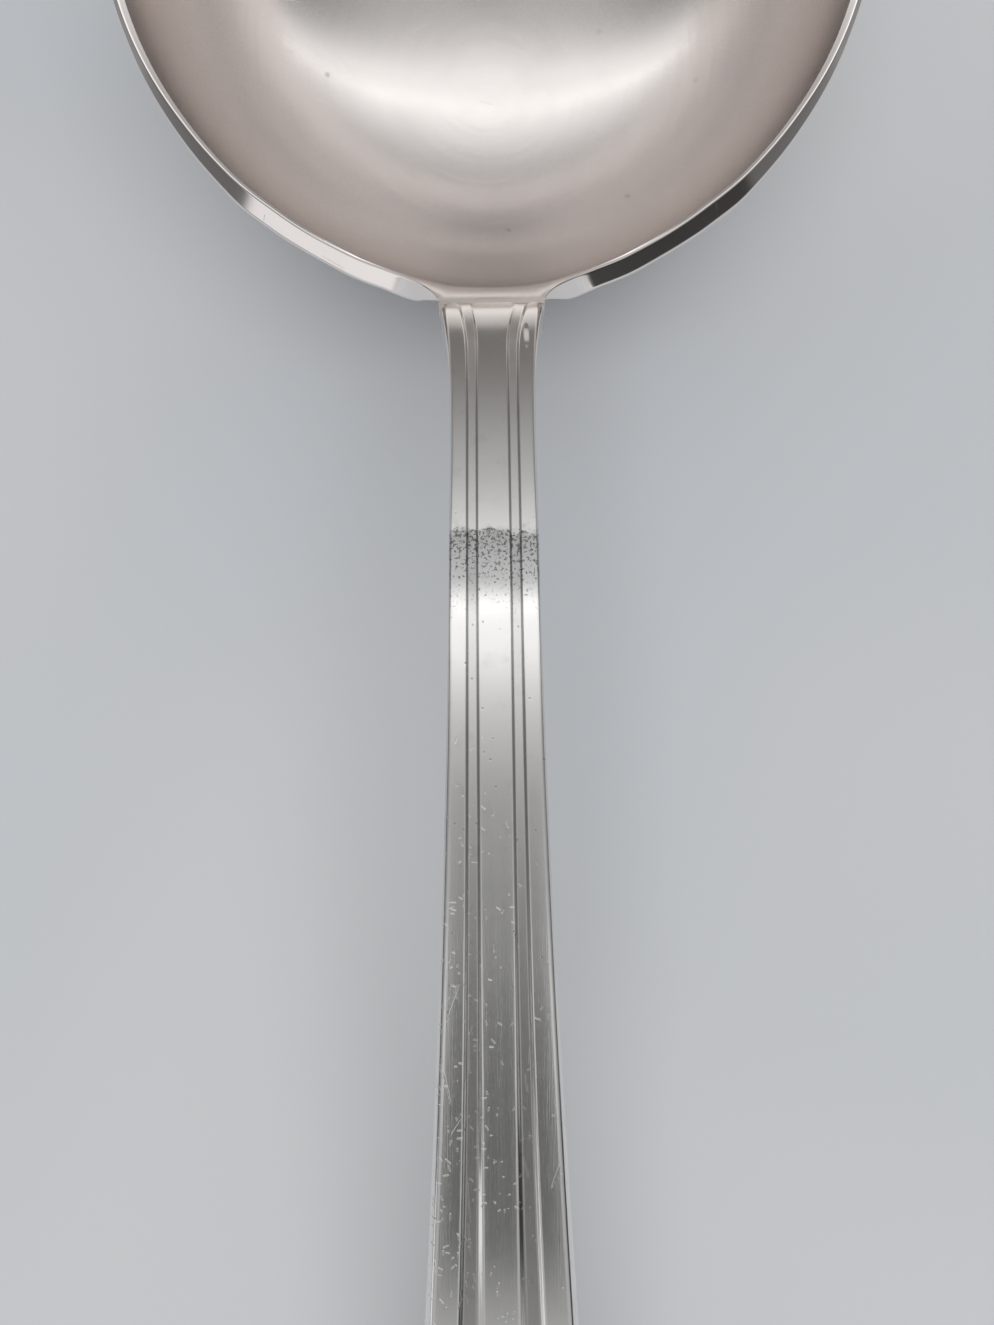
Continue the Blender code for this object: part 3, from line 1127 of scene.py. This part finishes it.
@dataclass
class Handle:
    """Stamped handle with two flutes, and the tongue that laps under the bowl's ear.

    Places along the handle are counted from the joint. The flanks, the channel and the edge bevel are in
    millimetres, and grow by their spread as half the handle gets wider than at its waist.
    """

    bowl: Bowl
    length: float = 0.2089
    bend_at: float = 0.006
    bend_rise: float = 0.00505
    bend_slope: float = math.radians(26.3)
    crest_at: float = 0.133
    crest_rise: float = 0.026
    tip_rise: float = 0.022
    tip_slope: float = math.radians(-6)
    tip_round: float = 0.012
    tip_fullness: float = 2.4
    neck_width: float = 0.0128
    neck_taper: float = 0.35
    flare_run: float = 0.0035
    waist_at: float = 0.0315
    waist_width: float = 0.0099
    end_width: float = 0.0262
    end_flare: float = 0.055
    waist_thickness: float = 0.0032
    end_thickness: float = 0.0022
    joint_gap: float = 0.0006
    tongue_drop: float = 0.020
    tongue_thickness: float = 0.0024
    tongue_tip_thickness: float = 0.0009
    lap_depth: float = 0.0015
    butt_set_back: float = 0.00005
    centre_band: float = 0.0035
    inner_flank: float = 0.2
    inner_flank_spread: float = 0.08
    channel: float = 0.9
    channel_spread: float = 0.16
    outer_flank: float = 0.2
    outer_flank_spread: float = 0.1
    edge_bevel: float = 0.3
    edge_bevel_spread: float = 0.15
    channel_depth: float = 0.00035
    back_bevel: float = 0.0006
    flute_start: Span = (-0.002, 0.006)
    flute_fade: float = 0.014
    flute_shown: Span = (0.2, 0.8)
    flute_corners: int = 4
    curl_run: float = 0.0075
    curl_left: float = 0.0008
    curl_right: float = 0.00115
    corner: float = 0.00014
    edge_corner: float = 0.0003
    corner_share: float = 0.4
    corner_steps: int = 4
    line_shares: tuple[float, ...] = (0.06, 0.35, 0.65, 0.94)
    centre_crown: float = 0.00001
    band_crown: float = 0.00001
    joint_step: float = 0.00035
    joint_run: float = 0.014
    stem_step: float = 0.001
    tip_rows: int = 18
    tongue_rows: int = 30

    @property
    def face_points(self) -> int:
        """Number of points of an outline from the middle of the face to just past the flute."""
        return 1 + self.flute_corners * (len(self.line_shares) + self.corner_steps + 1)

    def height(self, along: Number) -> Number:
        """Height of the handle's face above the rim.

        Args:
            along: Distances from the joint.

        Returns:
            The heights.
        """
        ear = math.tan(self.bowl.ear_slope)
        bend = math.tan(self.bend_slope)
        tip = math.tan(self.tip_slope)
        span = self.crest_at - self.bend_at
        rest = self.length - self.crest_at
        start = hermite(along / self.bend_at, self.bowl.ear_rise, self.bend_rise, ear, bend, self.bend_at)
        middle = hermite((along - self.bend_at) / span, self.bend_rise, self.crest_rise, bend, 0, span)
        end = hermite((along - self.crest_at) / rest, self.crest_rise, self.tip_rise, 0, tip, rest)
        return np.where(along <= self.bend_at, start, np.where(along <= self.crest_at, middle, end))

    def width(self, along: Number) -> Number:
        """Width of the handle, before its tip is rounded.

        Args:
            along: Distances from the joint.

        Returns:
            The widths.
        """
        neck = along / self.waist_at
        start = hermite(neck, self.neck_width, self.waist_width, -self.neck_taper, 0, self.waist_at)
        flare = self.bowl.joint_width - self.neck_width
        start = start + flare * np.maximum(0, 1 - along / self.flare_run) ** 2
        span = self.length - self.tip_round - self.waist_at
        share = np.minimum(1, (along - self.waist_at) / span)
        end = hermite(share, self.waist_width, self.end_width, 0, 2 * self.end_flare, span)
        return np.where(along <= self.waist_at, start, end)

    def thickness(self, along: Number) -> Number:
        """Thickness of the handle.

        Args:
            along: Distances from the joint.

        Returns:
            The thicknesses.
        """
        joint = self.lap_depth + self.joint_gap + self.tongue_thickness
        start = hermite(along / self.waist_at, joint, self.waist_thickness, 0, 0, self.waist_at)
        span = self.length - self.waist_at
        end = hermite((along - self.waist_at) / span, self.waist_thickness, self.end_thickness, 0, 0, span)
        return np.where(along <= self.waist_at, start, end)

    def lap_rise(self, share: float) -> float:
        """Place on the bowl's sheet at a share of the lap, from its lower tip to the joint."""
        tip = math.acos(self.tongue_drop / self.bowl.depth)
        return tip + (RIM_RISE - tip) * share

    def lap_half_turn(self, share: float) -> float:
        """Half the turn that the lap takes up at a share of it."""
        return self.bowl.joint_turn * math.sqrt(1 - (1 - share) ** 2)

    def corners(self, width: float, thickness: float, flute: float, curl: float) -> list[Span]:
        """Corners of one half of a section, from the middle of the face to the middle of the back.

        Args:
            width: Width of the section.
            thickness: Its thickness.
            flute: Depth of the flute.
            curl: How far the flute has moved outward.

        Returns:
            Offsets across and down.
        """
        flare = max(0.0, width - self.waist_width) / 2 / MM
        inner = (self.inner_flank + self.inner_flank_spread * flare * flare) * MM
        channel = (self.channel + self.channel_spread * flare) * MM
        outer = (self.outer_flank + self.outer_flank_spread * flare) * MM
        bevel = (self.edge_bevel + self.edge_bevel_spread * flare) * MM
        most = thickness / 3
        band = self.centre_band / 2 + curl
        half = width / 2
        floor = band + inner
        return [
            (0, 0),
            (band, 0),
            (floor, flute),
            (floor + channel, flute),
            (floor + channel + outer, 0),
            (half - bevel, 0),
            (half, min(bevel, most)),
            (half, thickness - min(self.back_bevel, most)),
            (half - self.back_bevel, thickness),
            (0, thickness),
        ]

    def outline(self, corners: list[Span]) -> Array:
        """Half a section with its corners rounded and its bands slightly crowned.

        Args:
            corners: Offsets across and down of the corners.

        Returns:
            Offsets across and down of the points, from the middle of the face to the middle of the back.
        """
        spots = np.array(corners, dtype=float)
        crowns = {0: self.centre_crown, self.flute_corners: self.band_crown}
        rounds = {place: self.edge_corner for place in range(self.flute_corners + 1, len(spots) - 1)}
        points = [spots[0]]
        leave = spots[0]
        for place in range(1, len(spots) - 1):
            spot = spots[place]
            back = spots[place - 1] - spot
            ahead = spots[place + 1] - spot
            wide = rounds.get(place, self.corner)
            near = np.linalg.norm(back)
            far = np.linalg.norm(ahead)
            arrive = spot + back * min(wide / near, self.corner_share)
            depart = spot + ahead * min(wide / far, self.corner_share)
            crown = crowns.get(place - 1, 0.0)
            for share in self.line_shares:
                lift = crown * 4 * share * (1 - share)
                points.append(leave + (arrive - leave) * share - np.array((0, lift)))
            for step in range(self.corner_steps + 1):
                share = step / self.corner_steps
                rest = 1 - share
                points.append(rest**2 * arrive + 2 * share * rest * spot + share**2 * depart)
            leave = depart
        points.append(leave + (spots[-1] - leave) * 0.5)
        points.append(spots[-1])
        return np.array(points)

    def loop(self, width: float, thickness: float, flute: float, curls: Span) -> Array:
        """Both halves of a section as one loop.

        Args:
            width: Width of the section.
            thickness: Its thickness.
            flute: Depth of the flutes.
            curls: How far the left and the right flute have moved outward.

        Returns:
            Offsets across and down.
        """
        left = self.outline(self.corners(width, thickness, flute, curls[0]))
        right = self.outline(self.corners(width, thickness, flute, curls[1]))
        left = left[1:-1][::-1] * np.array((-1, 1))
        return np.concatenate((right, left))

    def stem_ring(self, along: float) -> Arrays:
        """One section of the handle.

        Args:
            along: Distance from the joint.

        Returns:
            Its points, and their measures for the finish.
        """
        climb = self.height(along + LENGTH_STEP) - self.height(along - LENGTH_STEP)
        slope = math.atan(climb / (2 * LENGTH_STEP))
        down = np.array((0, -math.sin(slope), -math.cos(slope)))
        middle = np.array((0, -self.bowl.joint_at - along, float(self.height(along))))
        run_out = min(1.0, max(0.0, (self.length - self.tip_round - along) / self.flute_fade))
        flute = self.channel_depth * run_out * float(smooth(along, *self.flute_start))
        curl = max(0.0, 1 - along / self.curl_run) ** 2
        loop = self.loop(
            float(self.width(along)),
            float(self.thickness(along)),
            flute,
            (self.curl_left * curl, self.curl_right * curl),
        )
        past = (along - (self.length - self.tip_round)) / self.tip_round
        keep = 1.0 if past <= 0 else (1 - past**self.tip_fullness) ** (1 / self.tip_fullness)
        loop[:, 0] *= keep
        points = middle + loop[:, :1] * np.array((1.0, 0, 0)) + loop[:, 1:] * down
        lay = np.stack((loop[:, 0], np.full(len(loop), along), loop[:, 1]), axis=-1) / MM
        return points, lay

    def tongue_ring(self, share: float) -> Arrays:
        """One section of the tongue, square to the bowl's sheet behind it.

        Args:
            share: Share of the tongue from its lower tip to the joint.

        Returns:
            Its points, and their measures for the finish.
        """
        thickness = self.tongue_tip_thickness + (self.tongue_thickness - self.tongue_tip_thickness) * share
        loop = self.loop(self.bowl.joint_width, thickness, 0.0, (0.0, 0.0))
        turn = self.lap_half_turn(share) * loop[:, 0] / (self.bowl.joint_width / 2)
        rise = np.full_like(turn, self.lap_rise(share))
        points = self.bowl.behind(turn, rise, self.lap_depth + self.joint_gap + loop[:, 1])
        along = np.full(len(loop), (share - 1) * self.tongue_drop)
        return points, np.stack((loop[:, 0], along, loop[:, 1]), axis=-1) / MM

    def butt_ring(self, along: float) -> Arrays:
        """Lower edge of the handle's butt face, level with the underside of the ear.

        Args:
            along: Distance of the butt face from the joint.

        Returns:
            Its points, and their measures for the finish.
        """
        points, lay = self.stem_ring(along)
        slope = self.bowl.ear_slope
        down = np.array((0, -math.sin(slope), -math.cos(slope)))
        sink = self.lap_depth + self.joint_gap
        drop = lay[:, 2:] * MM
        points = points + (sink - drop * sink / float(self.thickness(along))) * down
        return points + np.array((0, self.butt_set_back, 0)), lay

    def stations(self) -> list[float]:
        """Distances from the joint at which the handle's sections stand.

        Returns:
            The distances, closer together at the joint and at the tip.
        """
        butt = self.joint_gap * math.cos(self.bowl.ear_slope)
        straight = self.length - self.tip_round
        near = np.linspace(butt, self.joint_run, round((self.joint_run - butt) / self.joint_step))
        far = np.linspace(self.joint_run, straight, round((straight - self.joint_run) / self.stem_step))
        rows = np.arange(1, self.tip_rows + 1)
        tip = straight + self.tip_round * np.sin(math.pi / 2 * rows / (self.tip_rows + 0.5))
        return [*near, *far[1:], *tip]

    def build(self) -> bpy.types.Object:
        """Make the handle.

        Returns:
            The piece, with its finish.
        """
        stations = self.stations()
        rings = [self.tongue_ring(share) for share in lap_shares(self.tongue_rows)]
        rings.append(self.butt_ring(stations[0]))
        rings += [self.stem_ring(along) for along in stations]
        points = np.stack([ring for ring, _ in rings])
        lays = np.stack([lay for _, lay in rings])
        depth = np.maximum(0, lays[..., 2])
        depth[:, self.face_points : 1 - self.face_points] = 0
        flute = depth.max(axis=1, keepdims=True)
        zone = depth / np.maximum(flute, 1e-6) * smooth(flute * MM / self.channel_depth, *self.flute_shown)
        piece = weave("ladle_handle", points, lays, zone)
        piece.data.materials.append(HandlePlate().material())
        return piece


@dataclass
class Seam:
    """Brazed seam that fills the gap between the bowl's ear and the handle."""

    bowl: Bowl
    handle: Handle
    bead: float = 0.0004
    lap: float = 0.00015
    proud: float = 0.000006
    clearance: float = 0.00002
    columns: int = 24
    rows: int = 30

    def ring(self, half_turn: float, rise: float, near: float, far: float) -> Array:
        """One section of the seam behind the bowl, between two depths.

        Args:
            half_turn: Half its spread.
            rise: Place on the bowl's sheet.
            near: Depth of the side toward the bowl.
            far: Depth of the side toward the handle.

        Returns:
            The points.
        """
        turns = half_turn * np.linspace(-1, 1, self.columns + 1)
        rises = np.full_like(turns, rise)
        inner = self.bowl.behind(turns, rises, np.full_like(turns, near))
        outer = self.bowl.behind(turns[::-1], rises, np.full_like(turns, far))
        return np.concatenate((inner, outer))

    def cover(self) -> Array:
        """Top of the seam, dressed flush with the ear's face and the handle's.

        Returns:
            The points.
        """
        across = self.bowl.joint_width / 2 * np.linspace(-1, 1, self.columns + 1)
        near = -self.lap
        far = self.handle.joint_gap * math.cos(self.bowl.ear_slope) + self.lap
        rings = []
        for along, places in ((near, across), (far, across[::-1])):
            height = float(self.handle.height(np.array(along))) + self.proud
            flat = np.ones_like(places)
            rings.append(np.stack((places, (-self.bowl.joint_at - along) * flat, height * flat), axis=-1))
        return np.concatenate(rings)

    def build(self) -> bpy.types.Object:
        """Make the seam.

        Returns:
            The piece, with its finish.
        """
        near = self.handle.lap_depth - self.clearance
        far = self.handle.lap_depth + self.handle.joint_gap + self.clearance
        spread = self.bead / self.bowl.radius
        rings = []
        for share in lap_shares(self.rows):
            half_turn = self.handle.lap_half_turn(share) + spread * (1 - share)
            rings.append(self.ring(half_turn, self.handle.lap_rise(share), near, far))
        rings.append(self.cover())
        points = np.stack(rings)
        lay = points / MM
        piece = weave("ladle_seam", points, lay, lay[..., 0] * 0)
        piece.data.materials.append(SeamPlate().material())
        return piece


@dataclass(frozen=True)
class LowCard:
    """Card that stands low beside the table, at a turn counted from the handle, in degrees."""

    level: float
    turn: float
    half: float


@dataclass
class Studio:
    """Pale table, soft light and the cards that the silver mirrors.

    A high card's place is given by its pitch, counted from straight up toward the back of the table, and
    by its swing, counted to the right, both in degrees.
    """

    table_size: float = 4.0
    table_cells: int = 8
    table_drop: float = 0.00002
    lamp_power: float = 22.0
    lamp_place: Triple = (0.12, -1.0, 1.55)
    lamp_size: Span = (2.0, 1.6)
    backdrop: Colour = (0.50, 0.51, 0.53)
    fill_level: float = 0.77
    levels: Marks = (
        (-180, 0.3), (-100, 0.4), (-82, 0.88), (-72, 0.92), (-66, 0.9), (-58, 0.76),
        (-52, 0.63), (-46, 0.5), (-36, 0.52), (-29, 0.7), (-21, 0.7), (-13, 0.52),
        (8, 0.45), (24, 0.47), (31, 0.53), (38, 0.55), (50, 0.28), (58.2, 0.17),
        (59.8, 0.54), (65, 0.75), (72, 1.05), (76, 1.05), (83, 0.46), (89, 0.35),
        (110, 0.34), (180, 0.3),
    )
    key_levels: Marks = (
        (-3, 0.02), (3, 0.16), (6, 0.27), (8, 0.36), (11.5, 0.58), (14, 0.8),
        (18.5, 0.8), (20, 1.35), (21.6, 1.35), (23.6, 0.72), (30, 0.34), (37, 0.0),
    )
    key_bend: float = 0.005
    key_reach: Span = (62.0, 85.0)
    dark_level: float = 0.165
    dark_shares: Marks = (
        (-47, 0.0), (-41.5, 1.0), (-33, 1.0), (-24, 0.92), (-12, 0.5), (-5, 0.25),
        (3, 0.0),
    )
    dark_reach: Span = (3.5, 7.5)
    side_level: float = 0.32
    side_reach: Span = (20.0, 50.0)
    rims: LowCard = LowCard(level=0.15, turn=86.0, half=25.0)
    window: LowCard = LowCard(level=1.02, turn=-33.5, half=27.0)
    shade: LowCard = LowCard(level=0.045, turn=43.5, half=23.0)
    low_height: float = 14.0
    low_half: float = 6.0
    low_soft: float = 4.5
    side_soft: float = 3.0

    def build_table(self) -> bpy.types.Object:
        """Make the table top.

        Returns:
            The table top.
        """
        form = bmesh.new()
        cells = self.table_cells
        bmesh.ops.create_grid(form, x_segments=cells, y_segments=cells, size=self.table_size / 2)
        mesh = bpy.data.meshes.new("table_top")
        form.to_mesh(mesh)
        form.free()
        mesh.materials.append(TableTop().material())
        table = bpy.data.objects.new("table_top", mesh)
        table.location.z = -self.table_drop
        bpy.context.scene.collection.objects.link(table)
        return table

    def build_lamp(self) -> bpy.types.Object:
        """Make the soft lamp that lights the table.

        Returns:
            The lamp.
        """
        light = bpy.data.lights.new("soft_lamp", "AREA")
        light.shape = "RECTANGLE"
        light.size, light.size_y = self.lamp_size
        light.energy = self.lamp_power
        lamp = bpy.data.objects.new("soft_lamp", light)
        lamp.location = self.lamp_place
        lamp.rotation_euler = (-Vector(self.lamp_place)).to_track_quat("-Z", "Y").to_euler()
        lamp.visible_glossy = False
        bpy.context.scene.collection.objects.link(lamp)
        return lamp

    def cards(self, graph: Graph) -> Sock:
        """Level of the surroundings in each direction.

        Args:
            graph: Tree that takes the nodes.

        Returns:
            The level.
        """
        x, y, z = graph.split(graph.out(graph.add("ShaderNodeTexCoord"), "Generated"))
        to_degrees = 180 / math.pi
        pitch = graph.maths(Op.ARCTAN2, y, z) * to_degrees
        swing = graph.maths(Op.ARCSINE, x) * to_degrees
        turn = graph.maths(Op.ARCTAN2, x, -y) * to_degrees
        height = graph.maths(Op.ARCSINE, z) * to_degrees
        aside = graph.fade(abs(swing), *self.side_reach)
        level = graph.blend(aside, graph.ramp(pitch, self.levels), self.side_level)
        key = graph.ramp(pitch - self.key_bend * swing * swing, self.key_levels)
        level = level + key * (1.0 - graph.fade(abs(swing), *self.key_reach))
        dark = graph.ramp(pitch, self.dark_shares) * (1.0 - graph.fade(abs(swing), *self.dark_reach))
        level = graph.blend(dark, level, self.dark_level)
        low = graph.card(height, self.low_height, self.low_half, self.low_soft)
        for card, angle in ((self.rims, abs(turn)), (self.window, turn), (self.shade, turn)):
            share = low * graph.card(angle, card.turn, card.half, self.side_soft)
            level = graph.blend(share, level, card.level)
        return level

    def build_surroundings(self) -> None:
        """Give the world the cards, and a plain pale backdrop to the camera."""
        world = bpy.data.worlds.new("studio")
        bpy.context.scene.world = world
        world.use_nodes = True
        graph = Graph(world.node_tree)
        world.cycles.sampling_method = "NONE"
        path = graph.add("ShaderNodeLightPath")
        cards = graph.out(graph.add("ShaderNodeBackground", None, {"Strength": self.cards(graph)}))
        fill = graph.out(graph.add("ShaderNodeBackground", None, {"Strength": self.fill_level}))
        plain = graph.out(graph.add("ShaderNodeBackground", None, {"Color": (*self.backdrop, 1.0)}))
        sockets = {0: graph.out(path, "Is Glossy Ray"), 1: fill, 2: cards}
        light = graph.out(graph.add("ShaderNodeMixShader", None, sockets))
        sockets = {0: graph.out(path, "Is Camera Ray"), 1: light, 2: plain}
        surface = graph.out(graph.add("ShaderNodeMixShader", None, sockets))
        graph.add("ShaderNodeOutputWorld", None, {"Surface": surface})

    def build(self) -> bpy.types.Object:
        """Set up the light and the table.

        Returns:
            The table top.
        """
        self.build_lamp()
        self.build_surroundings()
        bpy.context.scene.view_settings.view_transform = "Standard"
        return self.build_table()


@dataclass
class Camera:
    """Camera over the handle, looking square at the rim's plane."""

    place: Triple = (0.0002, -0.097, 0.1245)
    roll: float = math.radians(0.59)
    focal_pixels: float = 995.0
    sensor_height: float = 24.0
    nearest: float = 0.005

    def build(self) -> bpy.types.Object:
        """Make the camera and take it into use.

        Returns:
            The camera.
        """
        lens = bpy.data.cameras.new("camera")
        lens.sensor_fit = "VERTICAL"
        lens.sensor_height = self.sensor_height
        lens.lens = self.sensor_height * self.focal_pixels / IMAGE_HEIGHT
        lens.clip_start = self.nearest
        lens.dof.use_dof = False
        camera = bpy.data.objects.new("camera", lens)
        camera.matrix_world = REST @ Matrix.Translation(self.place) @ Matrix.Rotation(-self.roll, 4, "Z")
        bpy.context.scene.collection.objects.link(camera)
        bpy.context.scene.camera = camera
        return camera


def main() -> None:
    """Build the ladle, its light and the camera."""
    logging.basicConfig(level=logging.INFO, format="%(message)s")
    bowl = Bowl()
    handle = Handle(bowl)
    seam = Seam(bowl, handle)
    pieces = (
        (bowl, "bowl", "bowl_plate"),
        (handle, "handle", "handle_plate"),
        (seam, "brazed_seam", "braze"),
    )
    for maker, node, slot in pieces:
        piece = maker.build()
        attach(piece, "root")
        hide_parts(node)
        LOG.info("%s stands for %s: %d faces", piece.name, node, len(piece.data.polygons))
    table = Studio().build()
    camera = Camera().build()
    LOG.info("%s under %s", table.name, camera.name)


if __name__ == "__main__":
    main()
